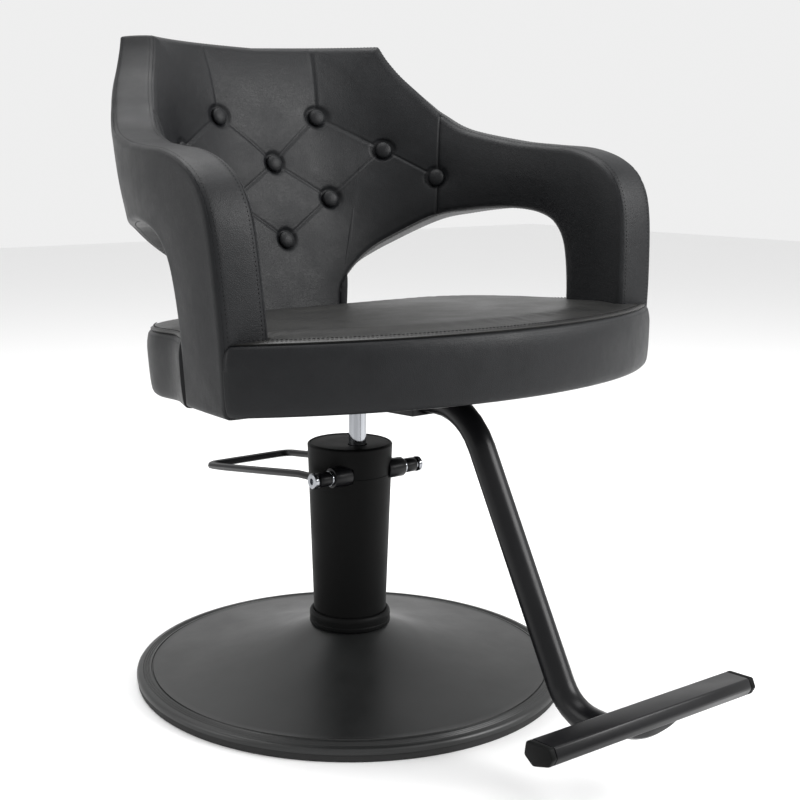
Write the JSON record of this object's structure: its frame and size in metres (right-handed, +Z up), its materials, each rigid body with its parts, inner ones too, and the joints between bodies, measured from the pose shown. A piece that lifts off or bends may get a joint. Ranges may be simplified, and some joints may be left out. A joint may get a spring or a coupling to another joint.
{
  "type": "styling chair",
  "caption": "Hydraulic styling chair with a tufted wrap-round shell, padded arms, foot pedal, swivel seat, T-bar footrest and round floor base.",
  "frame": {"origin": "centre of the round base's flat underside, on the floor", "axes": "+Z up; the sitter faces -Y; +X is the sitter's left"},
  "size_m": [0.7016, 0.8675, 0.8785],
  "materials": {
    "black_metal": "satin black powder coat",
    "dark_steel": "dark oiled steel",
    "chrome": "polished",
    "black_plastic": "fine textured",
    "rubber": "matt",
    "vinyl": "semi-gloss grained black upholstery",
    "plywood": "raw",
    "lining": "matt"
  },
  "bodies": {
    "base": {"base_plate": "dark_steel", "floor_ring": "rubber", "base_dome": "black_metal", "shroud_collar": "black_plastic", "shroud": "black_plastic", "top_cap": "black_plastic", "pump_flange": "dark_steel", "pump_tank": "dark_steel", "pump_cylinder": "dark_steel", "pump_head": "dark_steel", "rod_gland": "dark_steel", "rod_seal": "rubber", "lug_left": "black_metal", "lug_right": "black_metal"},
    "pedal": {"cross_shaft": "dark_steel", "pedal_cam": "dark_steel", "pedal_bar": "black_metal", "pedal_block_left": "black_metal", "pedal_block_right": "black_metal", "pedal_spacer_left": "chrome", "pedal_spacer_right": "chrome", "pedal_bolt_left": "chrome", "pedal_bolt_right": "chrome"},
    "plunger": {"pump_plunger": "chrome", "plunger_spring": "chrome"},
    "lift": {"piston_rod": "chrome", "piston": "dark_steel", "piston_seal": "rubber"},
    "seat": {"swivel_hub": "black_metal", "seat_plate": "dark_steel", "seat_bolt_1": "chrome", "seat_bolt_2": "chrome", "seat_bolt_3": "chrome", "seat_bolt_4": "chrome", "seat_board": "plywood", "dust_cover": "lining", "seat_cushion": "vinyl", "footrest_socket": "black_metal", "footrest_stem": "black_metal", "footrest_saddle": "black_metal", "footrest_bar": "black_metal", "footrest_cap_left": "black_plastic", "footrest_cap_right": "black_plastic", "footrest_screw": "dark_steel", "shell_core": "plywood", "shell_cover": "vinyl", "back_pad": "vinyl", "arm_pad_left": "vinyl", "arm_pad_right": "vinyl", "button_01": "vinyl", "button_02": "vinyl", "button_03": "vinyl", "button_04": "vinyl", "button_05": "vinyl", "button_06": "vinyl", "button_07": "vinyl", "button_08": "vinyl", "button_09": "vinyl", "button_10": "vinyl"}
  },
  "joints": [
    {"name": "lift", "type": "slide", "parent": "base", "child": "lift", "axis": [0, 0, 1], "range_m": [0, 0.15]},
    {"name": "swivel", "type": "hinge", "parent": "lift", "child": "seat", "pos_m": [0, -0.0176, 0.404], "axis": [0, 0, 1], "continuous": true},
    {"name": "pedal", "type": "hinge", "parent": "base", "child": "pedal", "pos_m": [0, -0.0385, 0.297], "axis": [1, 0, 0], "range_deg": [-26, 0], "stiffness_Nm_per_rad": 6, "springref_deg": 22.92},
    {"name": "plunger", "type": "slide", "parent": "base", "child": "plunger", "axis": [0, 0, 1], "range_m": [-0.0075, 0], "deforming": ["plunger_spring"]}
  ],
  "couplings": [
    {"joint": "plunger", "follows": "pedal", "m_per_rad": 0.016}
  ]
}
